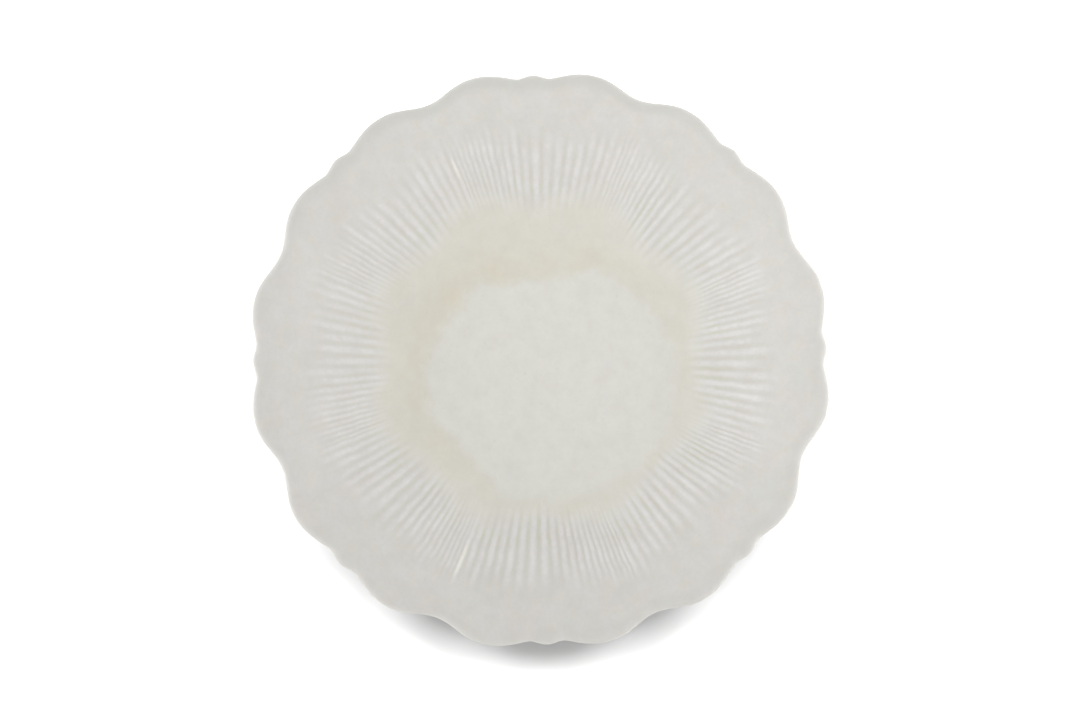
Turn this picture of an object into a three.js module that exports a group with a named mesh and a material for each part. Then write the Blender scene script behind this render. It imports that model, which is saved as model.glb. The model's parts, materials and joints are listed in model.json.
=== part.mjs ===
// Scalloped porcelain plate with a fluted shoulder: a fired body under three coats of glaze.
// Millimetres, +Z up. The plate lies on its foot ring, and the origin is the centre of the ring's sole.
// +X runs through the middle of a petal, where a small bead stands in the edge of the rim.

import * as THREE from "three";

// Plan: radii are on the middle line of a petal, and a corner is how much further out a valley lies
const PETALS = 8;
const WELL_RADIUS = 74; // centre of the plate to the inner ends of the flutes
const WELL_CORNER = 8;
const FLUTE_LENGTH = 37;
const FLUTE_CORNER = 4;
const RIM_WIDTH = 29; // outer ends of the flutes to the tip of a lobe

// Scalloped edge: two lobes to a petal, with a beaded notch between them and a valley on either side
const NOTCH_DEPTH = 5;
const BEAD_HEIGHT = 2.7;
const BEAD_WIDTH = 19.5;
const VALLEY_DEPTH = 5.7;
const VALLEY_SHARPNESS = 1.35; // 1 is a round valley, and more is a narrower one

// Flutes: they fan out from the middle line of a petal, and close up towards its valleys
const FLUTES_ANTICLOCKWISE = 12; // of the middle line, seen from above
const FLUTES_CLOCKWISE = 8;
const FAN_ANTICLOCKWISE = 2.5; // widest flute over narrowest
const FAN_CLOCKWISE = 1.57;
const FLUTE_DEPTH = 0.8; // of the widest flute, in the body
const FLUTE_RUN_IN = 6; // length over which a flute deepens
const FLUTE_RUN_OUT = 15; // length over which it fades

// Section
const FLOOR_THICKNESS = 5;
const COVE_WIDTH = 12; // curve between the flat floor and the flutes
const COVE_RISE = 1.5;
const SHOULDER_RISE = 10.5; // along the flutes
const RIM_RISE = 5;
const WALL_THICKNESS = 4.8; // under the outer ends of the flutes
const RIM_THICKNESS = 4;
const EDGE_ROUND = 4.5; // width of the rim's rounded edge, above and below

// Foot ring
const FOOT_OUTSET = 4; // outside of the sole beyond the well
const FOOT_WIDTH = 5;
const FOOT_HEIGHT = 3.5; // sole to the base inside the ring
const FOOT_DRAFT = 1.2; // slope of the ring's sides over their height
const HAUNCH_RISE = 2; // outside of the ring above its inside

// Glaze: it runs thin over ridges, pools in the flutes, and is wiped off the foot ring
const FACE_GLAZE = 0.3;
const GROOVE_POOL = 0.3; // more glaze in the widest groove than on a ridge
const BACK_GLAZE = 0.3;
const BASE_GLAZE = 0.3;
const BARE_HEIGHT = 2; // wiped outside of the foot ring

const PETAL_ANGLE = (2 * Math.PI) / PETALS;
const FLUTE_END = WELL_RADIUS + FLUTE_LENGTH;
const LOBE_RADIUS = FLUTE_END + RIM_WIDTH;
const FOOT_RADIUS = WELL_RADIUS + FOOT_OUTSET;
const FLOOR_TOP = FOOT_HEIGHT + FLOOR_THICKNESS;
const FLUTE_START_TOP = FLOOR_TOP + COVE_RISE;
const FLUTE_END_TOP = FLUTE_START_TOP + SHOULDER_RISE;
const RIM_TOP = FLUTE_END_TOP + RIM_RISE;
const EDGE_HEIGHT = RIM_TOP - RIM_THICKNESS / 2;
const HAUNCH_HEIGHT = FOOT_HEIGHT + HAUNCH_RISE;

// Directions round the plate: the ridge of every flute and the groove beside it, in turn.
// A groove holds its depth as a share of the widest flute's, because narrow flutes are shallow.
const directions = [];
for (let petal = 0; petal < PETALS; petal++) {
  const middle = petal * PETAL_ANGLE;
  for (let i = 0; i < 2 * FLUTES_ANTICLOCKWISE; i++) {
    const { turn, width } = fanned(i / (2 * FLUTES_ANTICLOCKWISE), FAN_ANTICLOCKWISE);
    directions.push({ angle: middle + turn, groove: (i % 2) * width });
  }
  for (let i = 2 * FLUTES_CLOCKWISE; i > 0; i--) {
    const { turn, width } = fanned(i / (2 * FLUTES_CLOCKWISE), FAN_CLOCKWISE);
    directions.push({ angle: middle + PETAL_ANGLE - turn, groove: (i % 2) * width });
  }
}

// Angle from the middle line after a share of a half petal's flutes, and the width of a flute there
// as a share of the first one's. The ratio is the first one's width over the last one's.
function fanned(share, ratio) {
  const narrowing = 1 + (ratio - 1) * share;
  return { turn: ((PETAL_ANGLE / 2) * Math.log(narrowing)) / Math.log(ratio), width: 1 / narrowing };
}

// 0 on the middle line of a petal, and 1 in a valley
function towardsValley(angle) {
  return Math.sin((PETALS * angle) / 2) ** 2;
}

function wellEdge(angle) {
  return WELL_RADIUS + WELL_CORNER * towardsValley(angle);
}

function fluteEnd(angle) {
  return FLUTE_END + FLUTE_CORNER * towardsValley(angle);
}

function rimEdge(angle) {
  const turn = Math.abs(angle - PETAL_ANGLE * Math.round(angle / PETAL_ANGLE));
  const dip = Math.cos(PETALS * turn) ** 2;
  const inNotch = turn < PETAL_ANGLE / 4;
  const depth = inNotch ? NOTCH_DEPTH * dip : VALLEY_DEPTH * dip ** VALLEY_SHARPNESS;
  const alongBead = (turn * LOBE_RADIUS) / BEAD_WIDTH;
  const bead = alongBead < 0.5 ? BEAD_HEIGHT * Math.cos(Math.PI * alongBead) ** 2 : 0;
  return LOBE_RADIUS - depth + bead;
}

// Height of the shoulder between the two ends of the flutes
function shoulderTop(radius, angle) {
  const share = (radius - wellEdge(angle)) / (fluteEnd(angle) - wellEdge(angle));
  return FLUTE_START_TOP + SHOULDER_RISE * share;
}

// Closed ring of points: every step-th direction, at the radius and height that place gives there
function ring(step, place) {
  const used = directions.filter((_, i) => i % step === 0);
  return used.map((direction) => {
    const [radius, height] = place(direction);
    const { angle } = direction;
    return new THREE.Vector3(radius * Math.cos(angle), radius * Math.sin(angle), height);
  });
}

function centrePoint(height) {
  return [new THREE.Vector3(0, 0, height)];
}

// How many directions a ring skips: all of them follow the flutes, and half of them the ridges alone
const EVERY = 1;
const RIDGES = 2;
const COARSE = 4;

// Point of the rounded edge, as a share of its quarter turn from the edge, above (1) or below (-1)
function onEdge(angle, share, side) {
  const turn = (share * Math.PI) / 2;
  const radius = rimEdge(angle) - EDGE_ROUND * (1 - Math.cos(turn));
  return [radius, EDGE_HEIGHT + (side * RIM_THICKNESS * Math.sin(turn)) / 2];
}

const edge = ring(EVERY, ({ angle }) => onEdge(angle, 0, 1));
const HALF_ROUND = 0.5;
const FULL_ROUND = 1;

// Face of the plate from the centre to the edge, under a coat of the given thickness and pooling
function faceRings(coat, pool) {
  const runInEnd = (angle) => wellEdge(angle) + FLUTE_RUN_IN;
  const runOutStart = (angle) => fluteEnd(angle) - FLUTE_RUN_OUT;
  const flute = (radius, { angle, groove }) => {
    const depth = FLUTE_DEPTH - pool;
    return [radius, shoulderTop(radius, angle) - depth * groove + coat];
  };
  const lifted = ([radius, height]) => [radius, height + coat];
  return [
    centrePoint(FLOOR_TOP + coat),
    ring(COARSE, ({ angle }) => [wellEdge(angle) - COVE_WIDTH, FLOOR_TOP + coat]),
    ring(EVERY, ({ angle }) => [wellEdge(angle), FLUTE_START_TOP + coat]),
    ring(EVERY, (direction) => flute(runInEnd(direction.angle), direction)),
    ring(EVERY, (direction) => flute(runOutStart(direction.angle), direction)),
    ring(RIDGES, ({ angle }) => [fluteEnd(angle), FLUTE_END_TOP + coat]),
    ring(RIDGES, ({ angle }) => lifted(onEdge(angle, FULL_ROUND, 1))),
    ring(RIDGES, ({ angle }) => lifted(onEdge(angle, HALF_ROUND, 1))),
    edge,
  ];
}

// Underside from the edge down to the wiped line on the outside of the foot ring, over a coat
function backRings(coat) {
  const bareLine = FOOT_RADIUS + (FOOT_DRAFT * BARE_HEIGHT) / HAUNCH_HEIGHT;
  const lowered = ([radius, height]) => [radius, height - coat];
  return [
    edge,
    ring(RIDGES, ({ angle }) => lowered(onEdge(angle, HALF_ROUND, -1))),
    ring(COARSE, ({ angle }) => lowered(onEdge(angle, FULL_ROUND, -1))),
    ring(COARSE, ({ angle }) => [fluteEnd(angle), FLUTE_END_TOP - WALL_THICKNESS - coat]),
    ring(COARSE, () => [FOOT_RADIUS + FOOT_DRAFT + coat, HAUNCH_HEIGHT - coat]),
    ring(COARSE, () => [bareLine + coat, BARE_HEIGHT]),
  ];
}

// Inside of the foot ring at a height above its sole
function footInside(height) {
  return FOOT_RADIUS - FOOT_WIDTH - (FOOT_DRAFT * height) / FOOT_HEIGHT;
}

function insideRing(height) {
  return ring(COARSE, () => [footInside(height), height]);
}

// Triangles between two rings, of which either may be a single point or have fewer points than the other
function stitch(first, second) {
  const count = Math.max(first.length, second.length);
  const at = (points, i) => points[Math.round((i * points.length) / count) % points.length];
  const triangles = [];
  for (let i = 0; i < count; i++) {
    const [a, d] = [at(first, i), at(first, i + 1)];
    const [b, c] = [at(second, i), at(second, i + 1)];
    if (b !== c) triangles.push([a, b, c]);
    if (a !== d) triangles.push([a, c, d]);
  }
  return triangles;
}

function surface(rings) {
  return rings.slice(1).flatMap((next, i) => stitch(rings[i], next));
}

function turnedOver(triangles) {
  return triangles.map(([a, b, c]) => [a, c, b]);
}

// Closed piece of a list of triangles, whose shared corners become one vertex
function piece(name, triangles, finish) {
  const corners = [...new Set(triangles.flat())];
  const numbers = new Map(corners.map((corner, i) => [corner, i]));
  const geometry = new THREE.BufferGeometry().setFromPoints(corners);
  geometry.setIndex(triangles.flat().map((corner) => numbers.get(corner)));
  geometry.computeVertexNormals();
  const mesh = new THREE.Mesh(geometry, new THREE.MeshStandardMaterial(finish));
  mesh.name = name;
  return mesh;
}

const bareFace = faceRings(0, 0);
const glazedFace = faceRings(FACE_GLAZE, GROOVE_POOL);
const bareBack = backRings(0);
const glazedBack = backRings(BACK_GLAZE);
const wipedLine = bareBack.at(-1);

const soleOutside = ring(COARSE, () => [FOOT_RADIUS, 0]);
const soleInside = insideRing(0);
const baseGlazeLine = insideRing(FOOT_HEIGHT - BASE_GLAZE);
const baseEdge = insideRing(FOOT_HEIGHT);
const baseCentre = centrePoint(FOOT_HEIGHT);

const biscuit = { color: 0xe4ddcc, roughness: 0.85, metalness: 0 };
const satinGlaze = { color: 0xdad9d1, roughness: 0.45, metalness: 0 };

const body = [
  ...surface(bareFace),
  ...surface(bareBack),
  ...surface([wipedLine, soleOutside, soleInside, baseGlazeLine, baseEdge, baseCentre]),
];
const faceCoat = [...surface(glazedFace), ...turnedOver(surface(bareFace))];
const backCoat = [
  ...surface(glazedBack),
  ...stitch(glazedBack.at(-1), wipedLine),
  ...turnedOver(surface(bareBack)),
];
const baseCoat = [
  ...surface([baseEdge, baseGlazeLine, centrePoint(FOOT_HEIGHT - BASE_GLAZE)]),
  ...turnedOver(stitch(baseEdge, baseCentre)),
];

const plate = new THREE.Group();
plate.add(
  piece("porcelain_body", body, biscuit),
  piece("face_glaze", faceCoat, satinGlaze),
  piece("back_glaze", backCoat, satinGlaze),
  piece("base_glaze", baseCoat, satinGlaze),
);

export default plate;
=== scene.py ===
import json
import math
import bpy
import numpy as np
from mathutils import Matrix, Vector

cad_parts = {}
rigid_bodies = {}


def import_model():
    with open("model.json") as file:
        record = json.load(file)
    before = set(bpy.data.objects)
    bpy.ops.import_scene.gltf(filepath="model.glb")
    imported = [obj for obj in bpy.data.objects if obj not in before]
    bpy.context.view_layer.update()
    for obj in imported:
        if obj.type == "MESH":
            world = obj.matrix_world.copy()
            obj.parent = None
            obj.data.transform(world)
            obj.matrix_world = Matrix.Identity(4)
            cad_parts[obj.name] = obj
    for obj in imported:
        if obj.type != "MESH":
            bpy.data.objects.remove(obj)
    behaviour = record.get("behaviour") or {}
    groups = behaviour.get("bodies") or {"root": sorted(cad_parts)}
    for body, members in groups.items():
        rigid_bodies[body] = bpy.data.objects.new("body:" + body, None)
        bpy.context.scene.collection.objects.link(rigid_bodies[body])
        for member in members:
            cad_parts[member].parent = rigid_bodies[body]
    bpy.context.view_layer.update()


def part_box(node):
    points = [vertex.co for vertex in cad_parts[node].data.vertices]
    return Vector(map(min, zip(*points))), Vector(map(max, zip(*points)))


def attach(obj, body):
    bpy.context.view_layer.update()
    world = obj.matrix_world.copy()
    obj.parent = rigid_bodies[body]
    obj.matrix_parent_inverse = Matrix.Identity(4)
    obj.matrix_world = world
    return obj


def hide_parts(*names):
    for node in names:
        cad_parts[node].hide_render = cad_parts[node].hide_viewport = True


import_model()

scene = bpy.context.scene
scene.view_settings.view_transform = "Standard"
mm = 0.001

# The plate seen from above: radii on the middle line of a petal
plan = {
    "petals": 8,
    "well": 74 * mm,            # centre to the inner ends of the flutes
    "wellCorner": 8 * mm,       # how much further that is in a valley
    "fluteEnd": 111 * mm,       # centre to where the flutes have faded
    "fluteCorner": 4 * mm,
    "lobe": 140 * mm,           # centre to the tip of a lobe
    "notchDepth": 5 * mm,
    "beadHeight": 2.7 * mm,
    "beadWidth": 19.5 * mm,
    "valleyDepth": 5.7 * mm,
    "valleySharpness": 1.35,
    "turnSteps": 1280,          # eight to a flute
    "mergeGap": 0.002 * mm,     # closes the seam and the poles
}

# The section: heights of the bare clay above the sole
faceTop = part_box("face_glaze")[1].z
baseLow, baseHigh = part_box("base_glaze")
coat = 0.3 * mm                 # glaze on the face, the back and the base
section = {
    "floor": 8.5 * mm,
    "coveStart": 62 * mm,       # radius where the flat floor ends
    "fluteStart": 10 * mm,
    "fluteEnd": 20.5 * mm,
    "rim": faceTop - coat,
    "edgeRound": 4.5 * mm,      # width of the rounded edge
    "rimThickness": 4 * mm,
    "wallThickness": 4.8 * mm,
    "shoulderSlope": 0.25,      # rise over run where the cove meets the flutes
    "rimSlope": 0.27,           # where the flutes meet the rim
    "crownTurn": math.radians(13),  # how far before the crown the rounded edge takes over
    "coatEdge": 0.15 * mm,      # glaze left round the clay at the very edge
    "warp": 0.25 * mm,          # the kiln's slight saddle in the rim
    "warpTurn": 0.6,
}
edgeHeight = section["rim"] - section["rimThickness"] / 2

flutes = {
    "anticlockwise": 12,        # of a petal's middle line
    "clockwise": 8,
    "fanAnticlockwise": 2.5,    # widest flute over narrowest
    "fanClockwise": 1.57,
    "depth": 0.8 * mm,          # of the widest groove in the clay
    "pool": 0.3 * mm,           # more glaze in it than on a ridge
    "begin": 77 * mm,           # where a groove has half its depth
    "runIn": 14 * mm,
    "runInValley": 20 * mm,     # the narrow ones beside a valley start more slowly
    "runOut": 16 * mm,
    "overrun": 4 * mm,          # how far the last of a flute runs on into the rim
    "startSpread": 2.5 * mm,    # how much single flutes differ
    "endSpread": 5 * mm,
    "depthSpread": 0.25,
    "lean": 0.18,               # flutes deeper, ridges paler and grooves darker on one side, softer opposite
    "leanTurn": math.radians(-32),
    "palest": 1.15,             # limit of a ridge's paleness
    "sway": 0.12 * mm,          # how far the flutes waver
    "swayLength": 2.7 * mm,     # one waver over two pi
    "swayWaves": ((1, 1, 5), (0.6, 1.7, -9)),   # strength, rate along a flute, turns round the plate
    "seed": 41,
    "highlightedCreases": (2, 5),          # petals whose valley ridge gets a painted highlight
    "crease": 1.1,
}


def smooth(share):
    share = np.clip(share, 0, 1)
    return share * share * (3 - 2 * share)


def towardsValley(angle):
    return np.sin(plan["petals"] * angle / 2) ** 2


def wellEdge(angle):
    return plan["well"] + plan["wellCorner"] * towardsValley(angle)


def fluteEdge(angle):
    return plan["fluteEnd"] + plan["fluteCorner"] * towardsValley(angle)


def rimEdge(angle):
    petal = 2 * np.pi / plan["petals"]
    turn = np.abs(angle - petal * np.round(angle / petal))
    dip = np.cos(plan["petals"] * turn) ** 2
    valley = plan["valleyDepth"] * dip ** plan["valleySharpness"]
    depth = np.where(turn < petal / 4, plan["notchDepth"] * dip, valley)
    alongBead = np.clip(turn * plan["lobe"] / plan["beadWidth"], 0, 0.5)
    return plan["lobe"] - depth + plan["beadHeight"] * np.cos(np.pi * alongBead) ** 2


def fanOut(share, ratio):       # turn from the middle line in half petals, and the flute's width
    narrowing = 1 + (ratio - 1) * share
    return np.log(narrowing) / math.log(ratio), 1 / narrowing


def fluteCourse(step):          # angle, running number and width of the flute at a step of the spin
    petal = 2 * np.pi / plan["petals"]
    perPetal = flutes["anticlockwise"] + flutes["clockwise"]
    turn = np.mod(step, 2 * np.pi) / petal
    number = np.floor(turn)
    along = (turn - number) * perPetal
    early = along < flutes["anticlockwise"]
    leftTurn, leftWidth = fanOut(along / flutes["anticlockwise"], flutes["fanAnticlockwise"])
    rightTurn, rightWidth = fanOut((perPetal - along) / flutes["clockwise"], flutes["fanClockwise"])
    halfTurn = np.where(early, leftTurn, 2 - rightTurn)
    angle = (number + halfTurn / 2) * petal
    return angle, number * perPetal + along, np.where(early, leftWidth, rightWidth)


# Profiles are lists of (radius, height); a run is a smooth curve from one point to the next
def run(start, end, startSlope, endSlope, steps):
    points = []
    length = end[0] - start[0]
    for i in range(1, steps + 1):
        t = i / steps
        height = (2 * t**3 - 3 * t**2 + 1) * start[1] + (3 * t**2 - 2 * t**3) * end[1]
        height += length * ((t**3 - 2 * t**2 + t) * startSlope + (t**3 - t**2) * endSlope)
        points.append((start[0] + length * t, height))
    return points


def roundEdge(fromTurn, toTurn, steps, side, lift, inset=0.0):  # the rim's edge; 0 is the crown
    reach = section["edgeRound"]
    high = section["rimThickness"] / 2 + lift
    points = []
    for i in range(steps + 1):
        turn = fromTurn + (toTurn - fromTurn) * i / steps
        radius = plan["lobe"] - inset - reach + reach * math.sin(turn)
        points.append((radius, edgeHeight + side * high * math.cos(turn)))
    return points


def faceLine(lift, counts, inset=0.0):  # from the middle of the well to the edge
    floor = (0, section["floor"] + lift)
    cove = (section["coveStart"], section["floor"] + lift)
    start = (plan["well"], section["fluteStart"] + lift)
    end = (plan["fluteEnd"], section["fluteEnd"] + lift)
    crown = section["crownTurn"]
    edge = roundEdge(-crown, math.pi / 2, counts["edge"], 1, lift, inset)
    crownSlope = (section["rimThickness"] / 2 + lift) / section["edgeRound"] * math.tan(crown)
    line = [floor] + run(floor, cove, 0, 0, counts["floor"])
    line += run(cove, start, 0, section["shoulderSlope"], counts["cove"])
    line += run(start, end, section["shoulderSlope"], section["rimSlope"], counts["shoulder"])
    line += run(end, edge[0], section["rimSlope"], crownSlope, counts["rim"])
    return line + edge[1:]


clayRings = {"floor": 1, "cove": 8, "shoulder": 12, "rim": 8, "edge": 12}


def bareTop(reach):             # height of the clay's face, for telling the sides of a coat apart
    line = np.array(faceLine(0, clayRings))
    return np.interp(reach, line[:, 0], line[:, 1])


foot = {
    "outside": 78 * mm,         # radius of the sole
    "width": 5 * mm,
    "draft": 1.2 * mm,          # slope of its sides over their height
    "height": baseHigh.z,       # of the base inside it
    "haunch": 5.5 * mm,         # height where the outside meets the back
    "wiped": 2 * mm,            # height of bare clay above the sole
    "roll": ((0.5 * mm, 1.15), (0.15 * mm, 1.1), (0, 0.6)),    # height above that, thickness in coats
    "round": 0.7 * mm,          # worn edges of the sole
    "roundSteps": 4,
}
underside = {                   # slopes are rise over run
    "rimSlope": 0.12,           # behind the rounded edge
    "wallSlope": 0.26,          # under the outer ends of the flutes
    "bendWidth": 4 * mm,        # from the haunch
    "bendRise": 1.1 * mm,
    "bendSlope": 0.33,
    "haunchSlope": 1.6,
}


def backLine(lift, counts, inset=0.0):  # from the edge down to the outside of the foot ring
    slope, bendSlope = underside["wallSlope"], underside["bendSlope"]
    wall = (plan["fluteEnd"], section["fluteEnd"] - section["wallThickness"] - lift)
    haunch = (foot["outside"] + foot["draft"] + lift, foot["haunch"] - lift)
    bend = (haunch[0] + underside["bendWidth"], haunch[1] + underside["bendRise"])
    under = roundEdge(math.pi / 2, 0, counts["edge"], -1, lift, inset)
    line = under + run(under[-1], wall, underside["rimSlope"], slope, counts["rim"])
    line += run(wall, bend, slope, bendSlope, counts["wall"])
    line += run(line[-1], haunch, bendSlope, underside["haunchSlope"], counts["haunch"])
    return line


def footOutside(height):
    return foot["outside"] + foot["draft"] * height / foot["haunch"]


def footInside(height):
    return foot["outside"] - foot["width"] - foot["draft"] * height / foot["height"]


def turnPiece(name, line):      # draws the profile from one vertex and spins it round the axis
    bpy.ops.object.select_all(action="DESELECT")
    bpy.ops.mesh.primitive_plane_add(size=1 * mm, location=(0, 0, 0))
    piece = bpy.context.object
    piece.name = name
    bpy.ops.object.mode_set(mode="EDIT")
    bpy.ops.mesh.merge(type="CENTER")
    bpy.ops.transform.translate(value=(line[0][0], 0, line[0][1]))
    for (r0, z0), (r1, z1) in zip(line, line[1:]):
        bpy.ops.mesh.extrude_region_move(TRANSFORM_OT_translate={"value": (r1 - r0, 0, z1 - z0)})
    bpy.ops.object.mode_set(mode="OBJECT")
    turning = piece.modifiers.new("turning", "SCREW")
    turning.steps = plan["turnSteps"]
    turning.render_steps = plan["turnSteps"]
    bpy.ops.object.modifier_apply(modifier="turning")
    bpy.ops.object.mode_set(mode="EDIT")
    bpy.ops.mesh.select_all(action="SELECT")
    bpy.ops.mesh.remove_doubles(threshold=plan["mergeGap"])
    bpy.ops.mesh.normals_make_consistent(inside=False)
    bpy.ops.object.mode_set(mode="OBJECT")
    bpy.ops.object.shade_smooth()
    return piece


def scatter(count, seed):       # even spread from -1 to 1, the same every time
    return np.random.default_rng(seed).uniform(-1, 1, count)


def pressPetals(piece):         # moves the spun surface to the petals' outlines and presses the flutes
    mesh = piece.data
    flat = np.empty(len(mesh.vertices) * 3)
    mesh.vertices.foreach_get("co", flat)
    x, y, z = flat.reshape(-1, 3).T.copy()
    reach = np.hypot(x, y)
    angle, number, width = fluteCourse(np.arctan2(y, x))
    clay = bareTop(reach)
    onFace = z > clay - section["rimThickness"] / 4

    # each ring keeps its share of the way between the outlines on either side of it
    innerKey = np.where(onFace, plan["well"], footOutside(foot["haunch"]))
    inner = np.where(onFace, wellEdge(angle), innerKey)
    crown = plan["lobe"] - section["edgeRound"]
    zero = np.zeros_like(reach)
    knots = [zero, innerKey, zero + plan["fluteEnd"], zero + crown, zero + plan["lobe"]]
    rim = rimEdge(angle)
    places = [zero, inner, fluteEdge(angle), rim - section["edgeRound"], rim]
    radius = zero
    for low, high, near, far in zip(knots, knots[1:], places, places[1:]):
        radius = radius + np.clip((reach - low) / (high - low), 0, 1) * (far - near)

    total = plan["petals"] * (flutes["anticlockwise"] + flutes["clockwise"])
    groove = np.floor(number).astype(int) % total
    ridge = np.round(number).astype(int) % total
    wave = 0.5 - 0.5 * np.cos(2 * np.pi * number)   # 0 on a ridge, 1 in a groove
    seed = flutes["seed"]
    fadeStart = plan["fluteEnd"] + flutes["overrun"] - flutes["runOut"]
    runIn = flutes["runIn"] + (flutes["runInValley"] - flutes["runIn"]) * towardsValley(angle)

    def stretch(index, draw):   # 1 along a flute, with its own ends
        start = flutes["begin"] - runIn / 2 + flutes["startSpread"] * scatter(total, draw)[index]
        fade = fadeStart + flutes["endSpread"] * scatter(total, draw + 1)[index]
        return smooth((reach - start) / runIn) * (1 - smooth((reach - fade) / flutes["runOut"]))

    lean = 1 + flutes["lean"] * np.cos(angle - flutes["leanTurn"])
    deep = lean * (1 + flutes["depthSpread"] * scatter(total, seed + 2)[groove])
    pressed = wave * width * deep * stretch(groove, seed)
    glazed = np.clip((z - clay) / coat, 0, 1)
    z = z - np.where(onFace, (flutes["depth"] - flutes["pool"] * glazed) * pressed, 0)

    overhang = np.clip((reach - foot["outside"]) / (plan["lobe"] - foot["outside"]), 0, 1)
    z = z + section["warp"] * overhang**2 * np.cos(2 * angle + section["warpTurn"])
    sway = zero
    for strength, rate, turns in flutes["swayWaves"]:
        sway = sway + strength * np.sin(rate * reach / flutes["swayLength"] + turns * angle)
    sway = sway * smooth((reach - plan["well"]) / flutes["runIn"])
    sway = sway * (1 - smooth((reach - plan["fluteEnd"]) / flutes["runOut"]))
    swayed = angle + flutes["sway"] * sway / plan["fluteEnd"]
    placed = np.stack([radius * np.cos(swayed), radius * np.sin(swayed), z], axis=1)
    mesh.vertices.foreach_set("co", placed.ravel())

    shine = lean * (1 + flutes["depthSpread"] * scatter(total, seed + 3)[ridge])
    # a few valley ridges get a painted highlight on top of their paleness
    crease = np.zeros(total)
    for petal in flutes["highlightedCreases"]:
        crease[petal * total // plan["petals"] + flutes["anticlockwise"]] = flutes["crease"]
    pale = np.minimum(shine, flutes["palest"]) + crease[ridge]
    marks = {
        "reach": reach,
        "ridge": smooth(1 - wave) * pale * stretch(ridge, seed + 4),
        "groove": smooth(wave) * np.sqrt(width) * deep * stretch(groove, seed),
    }
    for label, values in marks.items():
        layer = mesh.attributes.new(label, "FLOAT", "POINT")
        layer.data.foreach_set("value", values.astype(np.float32))
    mesh.update()


# Node helpers
def startMaterial(name):
    material = bpy.data.materials.new(name)
    material.use_nodes = True
    tree = material.node_tree
    return material, tree, tree.nodes["Principled BSDF"]


def feed(tree, socket, value):  # a socket takes a link or a plain value
    if isinstance(value, bpy.types.NodeSocket):
        tree.links.new(value, socket)
    elif isinstance(value, tuple) and len(value) == 3 and socket.type == "RGBA":
        socket.default_value = (*value, 1)
    else:
        socket.default_value = value


def sums(tree, operation, first, second=0.0, third=0.0):
    node = tree.nodes.new("ShaderNodeMath")
    node.operation = operation
    for socket, value in zip(node.inputs, (first, second, third)):
        feed(tree, socket, value)
    return node.outputs[0]


def times(tree, *factors):
    result = factors[0]
    for factor in factors[1:]:
        result = sums(tree, "MULTIPLY", result, factor)
    return result


def vectors(tree, operation, first, second=(0, 0, 0)):
    node = tree.nodes.new("ShaderNodeVectorMath")
    node.operation = operation
    feed(tree, node.inputs[0], first)
    feed(tree, node.inputs[1], second)
    return node.outputs["Value" if operation in ("LENGTH", "DOT_PRODUCT") else "Vector"]


def towards(tree, place, turn):     # 1 on the side that lies at this turn, -1 on the opposite one
    side = (math.cos(turn), math.sin(turn), 0)
    return vectors(tree, "DOT_PRODUCT", vectors(tree, "NORMALIZE", place), side)


def ramp(tree, value, low, high, toLow=0.0, toHigh=1.0):    # smooth step between two levels
    node = tree.nodes.new("ShaderNodeMapRange")
    node.interpolation_type = "SMOOTHSTEP"
    for socket, number in zip(node.inputs, (value, low, high, toLow, toHigh)):
        feed(tree, socket, number)
    return node.outputs[0]


def blend(tree, amount, first, second):
    node = tree.nodes.new("ShaderNodeMix")
    node.data_type = "RGBA"
    feed(tree, node.inputs[0], amount)
    feed(tree, node.inputs[6], first)
    feed(tree, node.inputs[7], second)
    return node.outputs[2]


def noise(tree, place, scale, detail, roughness):
    node = tree.nodes.new("ShaderNodeTexNoise")
    feed(tree, node.inputs["Vector"], place)
    node.inputs["Scale"].default_value = scale
    node.inputs["Detail"].default_value = detail
    node.inputs["Roughness"].default_value = roughness
    return node.outputs["Fac"]


def spots(tree, place, scale, size, share):     # round specks in some of the cells of a pattern
    node = tree.nodes.new("ShaderNodeTexVoronoi")
    feed(tree, node.inputs["Vector"], place)
    node.inputs["Scale"].default_value = scale
    parts = tree.nodes.new("ShaderNodeSeparateColor")
    tree.links.new(node.outputs["Color"], parts.inputs[0])
    chosen = sums(tree, "LESS_THAN", parts.outputs[0], share)
    return times(tree, ramp(tree, node.outputs["Distance"], size, size * 0.3), chosen)


def mark(tree, label):
    node = tree.nodes.new("ShaderNodeAttribute")
    node.attribute_name = label
    return node.outputs["Fac"]


def objectPlace(tree):
    return tree.nodes.new("ShaderNodeTexCoord").outputs["Object"]


def bump(tree, shader, height, depth):
    node = tree.nodes.new("ShaderNodeBump")
    node.inputs["Distance"].default_value = depth
    tree.links.new(height, node.inputs["Height"])
    tree.links.new(node.outputs["Normal"], shader.inputs["Normal"])


def glazeSkin(tree, shader, place, look, specks):   # satin patches, and a peel with dips at the specks
    satin = look["roughness"]
    patches = noise(tree, place, *look["noise"]["satin"])
    rough = ramp(tree, patches, 0.3, 0.7, satin - 0.05, satin + 0.06)
    tree.links.new(rough, shader.inputs["Roughness"])
    dips = times(tree, specks, -0.7)
    peel = sums(tree, "MULTIPLY_ADD", noise(tree, place, *look["noise"]["peel"]), 0.6, dips)
    bump(tree, shader, peel, look["peelDepth"])


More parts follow.
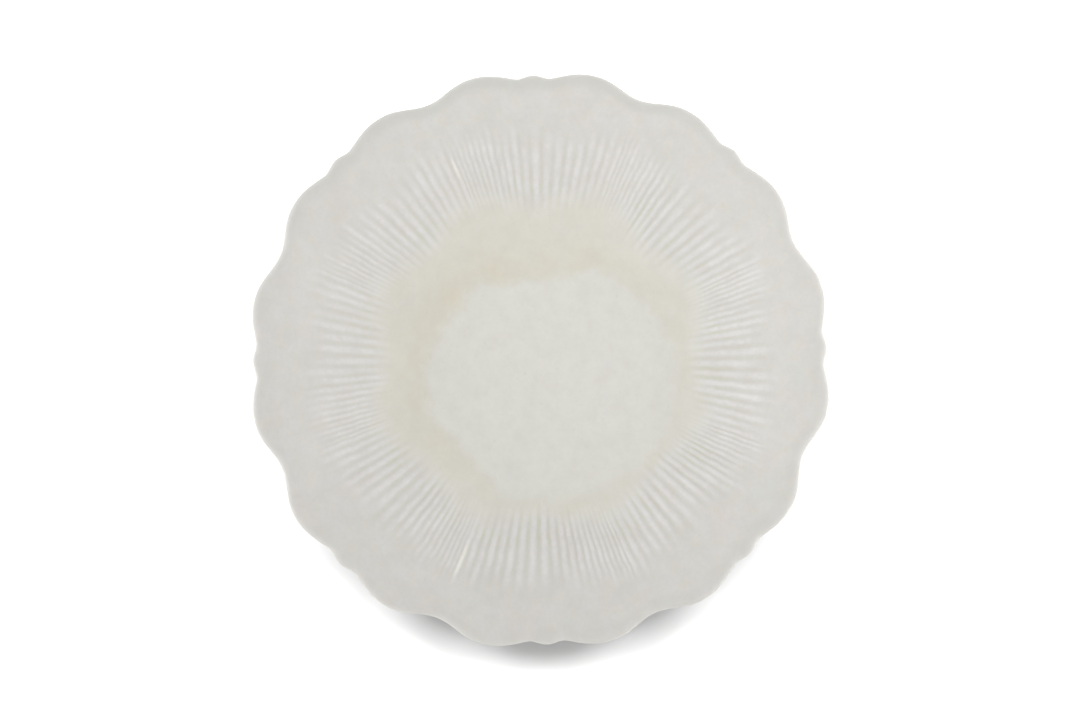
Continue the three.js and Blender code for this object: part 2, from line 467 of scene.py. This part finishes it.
faceFinish = {
    "colour": {                 # linear
        "rim": (0.6245, 0.615, 0.590),
        "well": (0.680, 0.677, 0.628),
        "cream": (0.644, 0.613, 0.520),
        "amber": (0.634, 0.596, 0.492),
        # ridges paler and grooves darker where glaze breaks and gathers, and partly as painted light
        # and shade of the flutes
        "ridge": (0.693, 0.680, 0.668),
        "groove": (0.599, 0.590, 0.547),
        "moss": (0.589, 0.587, 0.498),
        # painted highlight along a valley ridge
        "crease": (0.800, 0.790, 0.720),
        "brow": (0.562, 0.561, 0.532),      # painted shade just inside the rounded edge
        "edge": (0.632, 0.618, 0.590),
        "speck": (0.500, 0.470, 0.415),
        "stain": (0.560, 0.470, 0.300),
        "ivory": (0.636, 0.610, 0.548),
        "cool": (0.606, 0.604, 0.594),
        "pink": (0.638, 0.598, 0.578),
        "green": (0.594, 0.606, 0.568),
    },
    "noise": {                  # scale, detail and roughness of each pattern
        "ragged": (34, 4, 0.6),
        "fringe": (170, 4, 0.65),
        "patchy": (60, 4, 0.6),
        "warm": (50, 3, 0.5),
        "pink": (45, 3, 0.5),
        "green": (38, 3, 0.6),
        "mottle": (150, 3, 0.6),
        "broken": (230, 3, 0.65),
        "moss": (75, 2, 0.5),
        "grain": (520, 3, 0.65),
        "clouds": (110, 3, 0.6),
        "satin": (150, 3, 0.5),
        "peel": (340, 2, 0.5),
    },
    "amount": {                 # how strong each is in the well and on the rim
        "pink": (0.2, 0.65),
        "green": (0.25, 0.70),
        "mottle": (0.15, 0.70),
        "grain": (0.07, 0.13),
        "clouds": (0.14, 0.20),
    },
    "pool": (4.9 * mm, -11.6 * mm, 0),      # middle of the cool pool inside the cream ring
    "poolSize": (60.5 * mm, 57.0 * mm, 1),
    "ragged": 0.32,                         # of the pool's edge, in its radii
    "fringe": 0.20,
    "dents": ((math.radians(96), 0.10), (math.radians(221), 0.08)),     # where cream cuts into it
    "dentWidth": math.radians(28),
    "creamTurn": math.radians(132),         # side where the cream is strongest
    "creamStrength": 0.66,
    "creamLean": 0.24,
    "creamEnd": (-4 * mm, 13 * mm),         # from the inner ends of the flutes
    "rimStart": (-5 * mm, 17 * mm),
    "mossEnd": (98 * mm, 84 * mm),          # from the middle of the plate
    "creaseHighlightStart": (86 * mm, 96 * mm),
    "edgeShadeStart": (-10 * mm, -4 * mm),       # from the edge
    "edgeShadeTurn": math.radians(90),           # side where the painted edge shade is strongest
    "lessShadeTurn": math.radians(203),         # side where the painted edge shade is weakest
    "edgeStart": -2.6 * mm,
    "stains": (55, 0.2, 0.10),              # scale, size and share of the cells
    "specks": ((260, 0.22, 0.16), (620, 0.3, 0.12)),
    "speckStrength": 0.18,
    "roughness": 0.42,
    "peelDepth": 0.03 * mm,
}


def faceGlaze():                # satin reactive glaze, cream where it ran together round the well
    look, shade = faceFinish, faceFinish["colour"]
    material, tree, shader = startMaterial("satinFaceGlaze")
    place = objectPlace(tree)
    flat = vectors(tree, "MULTIPLY", place, (1, 1, 0))
    reach = mark(tree, "reach")
    ridge = mark(tree, "ridge")
    groove = mark(tree, "groove")

    def pattern(label, where=flat):
        return noise(tree, where, *look["noise"][label])

    def along(label, start):    # from one radius to the other
        return ramp(tree, reach, *(start + offset for offset in look[label]))

    onRim = along("rimStart", plan["well"])

    def amount(label):
        return ramp(tree, onRim, 0, 1, *look["amount"][label])

    # cool pool in the well with a ragged edge, in a ring of cream
    fromPool = vectors(tree, "SUBTRACT", flat, look["pool"])
    fromPool = vectors(tree, "DIVIDE", fromPool, look["poolSize"])
    poolEdge = vectors(tree, "LENGTH", fromPool)
    for label in ("ragged", "fringe"):
        uneven = sums(tree, "SUBTRACT", pattern(label), 0.5)
        poolEdge = sums(tree, "MULTIPLY_ADD", uneven, look[label], poolEdge)
    for turn, depth in look["dents"]:
        facing = towards(tree, fromPool, turn)
        dent = ramp(tree, facing, math.cos(look["dentWidth"]), 1.0, 0.0, depth)
        poolEdge = sums(tree, "ADD", poolEdge, dent)
    outside = ramp(tree, poolEdge, 0.93, 1.07)
    thinning = ramp(tree, poolEdge, 1.04, 1.45, 1.0, 0.62)
    toFlutes = sums(tree, "SUBTRACT", 1.0, along("creamEnd", plan["well"]))
    facing = towards(tree, flat, look["creamTurn"])
    strength = sums(tree, "MULTIPLY_ADD", facing, look["creamLean"], look["creamStrength"])
    patchy = ramp(tree, pattern("patchy"), 0.3, 0.7, 0.70, 1.12)
    cream = times(tree, outside, thinning, toFlutes, strength, patchy)
    warm = times(tree, ramp(tree, pattern("warm"), 0.45, 0.7), ramp(tree, poolEdge, 1.3, 1.05))

    # mottling, strongest on the rim
    pinks = times(tree, ramp(tree, pattern("pink"), 0.45, 0.75), amount("pink"))
    greens = times(tree, ramp(tree, pattern("green"), 0.55, 0.25), amount("green"))
    mottle, spread = pattern("mottle"), amount("mottle")
    ivory = times(tree, ramp(tree, mottle, 0.48, 0.75), spread)
    cool = times(tree, ramp(tree, mottle, 0.52, 0.25), spread)
    grain = times(tree, ramp(tree, pattern("grain", place), 0.7, 0.3), amount("grain"))
    clouds = times(tree, ramp(tree, pattern("clouds"), 0.7, 0.3), amount("clouds"))
    specks = sums(tree, "MAXIMUM", *(spots(tree, place, *kind) for kind in look["specks"]))

    # flutes: glaze breaks over the ridges, gathers in the grooves and stains a few of them; the pale
    # ridges and dark grooves also carry painted light and shade
    broken = ramp(tree, pattern("broken", place), 0.3, 0.7, 0.55, 1.3)
    mossy = times(tree, ramp(tree, pattern("moss"), 0.4, 0.65), along("mossEnd", 0))
    # painted highlight on the valley ridges of a few petals
    crease = times(tree, ramp(tree, ridge, 0.95, 1.7), along("creaseHighlightStart", 0))
    stains = times(tree, spots(tree, flat, *look["stains"]), ramp(tree, groove, 0.1, 0.6, 0.0, 0.3))

    # edge: painted shade just inside it, strongest on one side and weakest on another; the very edge a
    # little paler where the glaze breaks
    shadeSide = ramp(tree, towards(tree, flat, look["edgeShadeTurn"]), 0.3, 1.1, 0.25, 0.95)
    lessShade = ramp(tree, towards(tree, flat, look["lessShadeTurn"]), 0.4, 0.9, 0.0, -0.25)
    brow = times(tree, along("edgeShadeStart", plan["lobe"]), sums(tree, "ADD", shadeSide, lessShade))
    edge = ramp(tree, reach, plan["lobe"] + look["edgeStart"], plan["lobe"])

    colour = blend(tree, onRim, shade["well"], shade["rim"])
    layers = (                  # one over the other
        (pinks, shade["pink"]),
        (greens, shade["green"]),
        (cream, blend(tree, warm, shade["cream"], shade["amber"])),
        (ivory, shade["ivory"]),
        (cool, shade["cool"]),
        (times(tree, groove, broken), blend(tree, mossy, shade["groove"], shade["moss"])),
        (times(tree, ridge, broken), shade["ridge"]),
        (crease, shade["crease"]),
        (stains, shade["stain"]),
        (brow, shade["brow"]),
        (edge, shade["edge"]),
        (times(tree, specks, look["speckStrength"]), shade["speck"]),
        (grain, shade["speck"]),
        (clouds, shade["speck"]),
    )
    for share, tint in layers:
        colour = blend(tree, share, colour, tint)
    tree.links.new(colour, shader.inputs["Base Color"])
    shader.inputs["IOR"].default_value = 1.5
    glazeSkin(tree, shader, place, look, specks)
    return material


backFinish = {
    "glaze": (0.640, 0.628, 0.590),
    "thin": (0.690, 0.668, 0.620),
    "speck": (0.520, 0.490, 0.430),
    "noise": {
        "thin": (40, 3, 0.5),
        "satin": (120, 3, 0.5),
        "peel": (260, 2, 0.5),
    },
    "specks": ((230, 0.22, 0.16), (600, 0.3, 0.12)),
    "speckStrength": 0.35,
    "roughness": 0.36,
    "peelDepth": 0.04 * mm,
}


def backGlaze():                # plainer glaze, with thin patches
    look = backFinish
    material, tree, shader = startMaterial("plainBackGlaze")
    place = objectPlace(tree)
    patches = ramp(tree, noise(tree, place, *look["noise"]["thin"]), 0.35, 0.75, 0.0, 0.35)
    colour = blend(tree, patches, look["glaze"], look["thin"])
    specks = sums(tree, "MAXIMUM", *(spots(tree, place, *kind) for kind in look["specks"]))
    colour = blend(tree, times(tree, specks, look["speckStrength"]), colour, look["speck"])
    tree.links.new(colour, shader.inputs["Base Color"])
    glazeSkin(tree, shader, place, look, specks)
    return material


biscuitFinish = {
    "clay": (0.700, 0.640, 0.530),
    "worn": (0.560, 0.500, 0.410),
    "grain": (0.460, 0.400, 0.320),
    "noise": {
        "wear": (90, 4, 0.6),
        "tooth": (1400, 3, 0.7),
    },
    "grains": (900, 0.35, 0.25),
    "grainStrength": 0.4,
    "roughness": 0.85,
    "toothDepth": 0.05 * mm,
}


def biscuit():                  # bare fired clay of the foot ring
    look = biscuitFinish
    material, tree, shader = startMaterial("bareBiscuit")
    place = objectPlace(tree)
    wear = ramp(tree, noise(tree, place, *look["noise"]["wear"]), 0.4, 0.8, 0.0, 0.5)
    colour = blend(tree, wear, look["clay"], look["worn"])
    grains = times(tree, spots(tree, place, *look["grains"]), look["grainStrength"])
    colour = blend(tree, grains, colour, look["grain"])
    tree.links.new(colour, shader.inputs["Base Color"])
    shader.inputs["Roughness"].default_value = look["roughness"]
    bump(tree, shader, noise(tree, place, *look["noise"]["tooth"]), look["toothDepth"])
    return material


def dress(piece, node, material):
    piece.data.materials.append(material)
    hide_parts(node)
    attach(piece, "root")


# Rings of each surface; the hidden side of a coat has the clay's own rings
fine = {"floor": 8, "cove": 5, "shoulder": 24, "rim": 8, "edge": 9}
hidden = {"floor": 1, "cove": 3, "shoulder": 7, "rim": 2, "edge": 2}
fineBack = {"edge": 8, "rim": 6, "wall": 7, "haunch": 6}
hiddenBack = {"edge": 2, "rim": 2, "wall": 2, "haunch": 3}

bareFace = faceLine(0, hidden, section["coatEdge"])
bareBack = backLine(0, hiddenBack, section["coatEdge"])


def makeFaceCoat():
    piece = turnPiece("faceGlazeCoat", faceLine(coat, fine) + bareFace[::-1])
    pressPetals(piece)
    dress(piece, "face_glaze", faceGlaze())


def makeBackCoat():             # ends in a small roll on the wiped line
    wiped = foot["wiped"]
    roll = []
    for rise, thickness in foot["roll"]:
        roll.append((footOutside(wiped + rise) + coat * thickness, wiped + rise))
    under = backLine(coat, fineBack)
    line = under + roll + [(footOutside(wiped), wiped)] + bareBack[::-1] + [under[0]]
    piece = turnPiece("backGlazeCoat", line)
    pressPetals(piece)
    dress(piece, "back_glaze", backGlaze())


def makeBody():                 # the clay, which shows on the foot ring alone
    wiped = (footOutside(foot["wiped"]), foot["wiped"])
    soleOutside, soleInside = [], []
    for i in range(foot["roundSteps"] + 1):
        turn = math.pi / 2 * i / foot["roundSteps"]
        first = foot["round"] * (1 - math.cos(turn))
        second = foot["round"] * (1 - math.sin(turn))
        soleOutside.append((footOutside(0) - first, second))
        soleInside.append((footInside(0) + second, first))
    base = [(footInside(height), height) for height in (baseLow.z, baseHigh.z)] + [(0, baseHigh.z)]
    line = bareFace + bareBack[1:] + [wiped] + soleOutside + soleInside + base
    piece = turnPiece("porcelainBody", line)
    pressPetals(piece)
    dress(piece, "porcelain_body", biscuit())


baseCoat = {                    # disc of glaze that climbs a little where it meets the ring
    "rings": (0, 40 * mm, 66 * mm),
    "climb": ((69.5 * mm, 0.05 * mm), (70.8 * mm, 0.2 * mm)),   # radius, and how much thicker there
    "climbEnd": 0.7 * mm,
}


def makeBaseCoat():
    low, high = baseLow.z, baseHigh.z
    climbed = low - baseCoat["climbEnd"]
    line = [(radius, low) for radius in baseCoat["rings"]]
    line += [(radius, low - thicker) for radius, thicker in baseCoat["climb"]]
    line += [(footInside(climbed), climbed), (footInside(high), high), (0, high)]
    piece = turnPiece("baseGlazeCoat", line)
    dress(piece, "base_glaze", backGlaze())


camera = {
    "distance": 0.9,
    "tilt": math.radians(7),    # from straight above, towards the near edge
    "roll": math.radians(1.38),
    "sensor": 36,
    "pixelsPerMetre": 2083.5,   # at the rim, in the photograph's frame
    "frameWidth": 1080,
    "frameHeight": 720,
    "rimCentrePixel": (539.9, 354.6),
}


def placeCamera():
    data = bpy.data.cameras.new("plateCamera")
    holder = bpy.data.objects.new("plateCamera", data)
    scene.collection.objects.link(holder)
    tilt, roll = camera["tilt"], camera["roll"]
    perMetre = camera["pixelsPerMetre"]
    data.sensor_width = camera["sensor"]
    data.lens = camera["sensor"] * camera["distance"] * perMetre / camera["frameWidth"]
    upwards = Vector((0, 0, 1))
    uphill = Vector((math.sin(roll), math.cos(roll), 0))
    back = upwards * math.cos(tilt) - uphill * math.sin(tilt)
    top = uphill * math.cos(tilt) + upwards * math.sin(tilt)
    right = top.cross(back)
    offRight = (camera["frameWidth"] / 2 - camera["rimCentrePixel"][0]) / perMetre
    offTop = (camera["rimCentrePixel"][1] - camera["frameHeight"] / 2) / perMetre
    aim = upwards * edgeHeight + right * offRight + top * offTop
    holder.location = aim + back * camera["distance"]
    holder.rotation_mode = "QUATERNION"
    holder.rotation_quaternion = Matrix((right, top, back)).transposed().to_quaternion()
    scene.camera = holder


overhead = {                    # soft spot that fades towards the near left edge
    "place": (0.38, -0.12, 1.6),
    "aim": (0.26, 0.36, 0),
    "cone": 2 * math.atan(0.65 / 1.6),
    "size": 0.08,
    "power": 21.0,
}
floorLight = {                  # softboxes for the floor alone, at the far left and the far right
    "distance": 2.6,
    "turn": math.radians(52),   # from the far side
    "height": math.radians(44),
    "size": 1.7,
    "power": 138.0,
}


def addLamp(name, kind, look, place, aim):
    data = bpy.data.lights.new(name, kind)
    data.energy = look["power"]
    holder = bpy.data.objects.new(name, data)
    scene.collection.objects.link(holder)
    holder.location = place
    holder.rotation_mode = "QUATERNION"
    holder.rotation_quaternion = (Vector(place) - Vector(aim)).to_track_quat("Z", "Y")
    holder.visible_camera = False
    return holder


def placeLamps(floor):
    holder = addLamp("overheadSpot", "SPOT", overhead, overhead["place"], overhead["aim"])
    holder.data.spot_size = overhead["cone"]
    holder.data.spot_blend = 1
    holder.data.shadow_soft_size = overhead["size"]
    holder.visible_glossy = False
    floorGroup = bpy.data.collections.new("floorGroup")
    floorGroup.objects.link(floor)
    height = floorLight["height"]
    level = floorLight["distance"] * math.cos(height)
    for turn in (-floorLight["turn"], floorLight["turn"]):
        place = (level * math.sin(turn), level * math.cos(turn), level * math.tan(height))
        holder = addLamp("floorSoftbox", "AREA", floorLight, place, (0, 0, 0))
        holder.data.size = floorLight["size"]
        holder.light_linking.receiver_collection = floorGroup


studio = {
    "floorSize": 2.6,
    "floor": 0.55,
    "bounce": 0.22,             # how pale the floor is to light that comes back from it
    "around": (4.55, -0.40, -1.62),     # light from the sides, less from near, far and overhead
}


def seenRay(tree):              # 1 where the camera sees the stage, straight or in a reflection
    rays = tree.nodes.new("ShaderNodeLightPath").outputs
    seen = sums(tree, "MAXIMUM", rays["Is Camera Ray"], rays["Is Glossy Ray"])
    return sums(tree, "MAXIMUM", seen, rays["Is Transmission Ray"])


def layFloor():
    bpy.ops.object.select_all(action="DESELECT")
    bpy.ops.mesh.primitive_plane_add(size=studio["floorSize"], location=(0, 0, 0))
    floor = bpy.context.object
    floor.name = "studioFloor"
    material, tree, shader = startMaterial("paleFloor")
    pale = ramp(tree, seenRay(tree), 0, 1, studio["bounce"], studio["floor"])
    tree.links.new(pale, shader.inputs["Base Color"])
    shader.inputs["Roughness"].default_value = 1
    shader.inputs["Specular IOR Level"].default_value = 0
    floor.data.materials.append(material)
    return floor


def fillWorld():
    world = bpy.data.worlds.new("studioWorld")
    world.use_nodes = True
    scene.world = world
    tree = world.node_tree
    sky = tree.nodes["Background"]
    sky.inputs["Color"].default_value = (1, 1, 1, 1)
    heading = tree.nodes.new("ShaderNodeTexCoord").outputs["Generated"]
    around = vectors(tree, "DOT_PRODUCT", vectors(tree, "ABSOLUTE", heading), studio["around"])
    light = sums(tree, "MAXIMUM", around, 0.0)
    tree.links.new(ramp(tree, seenRay(tree), 0, 1, light, 1.0), sky.inputs["Strength"])


placeCamera()
placeLamps(layFloor())
fillWorld()
print("stage: camera, lamps, floor and world are in place")
makeBody()
print("body: clay turned and pressed")
makeFaceCoat()
print("face: coat turned, pressed and glazed")
makeBackCoat()
makeBaseCoat()
print("back and base: coats turned and glazed")
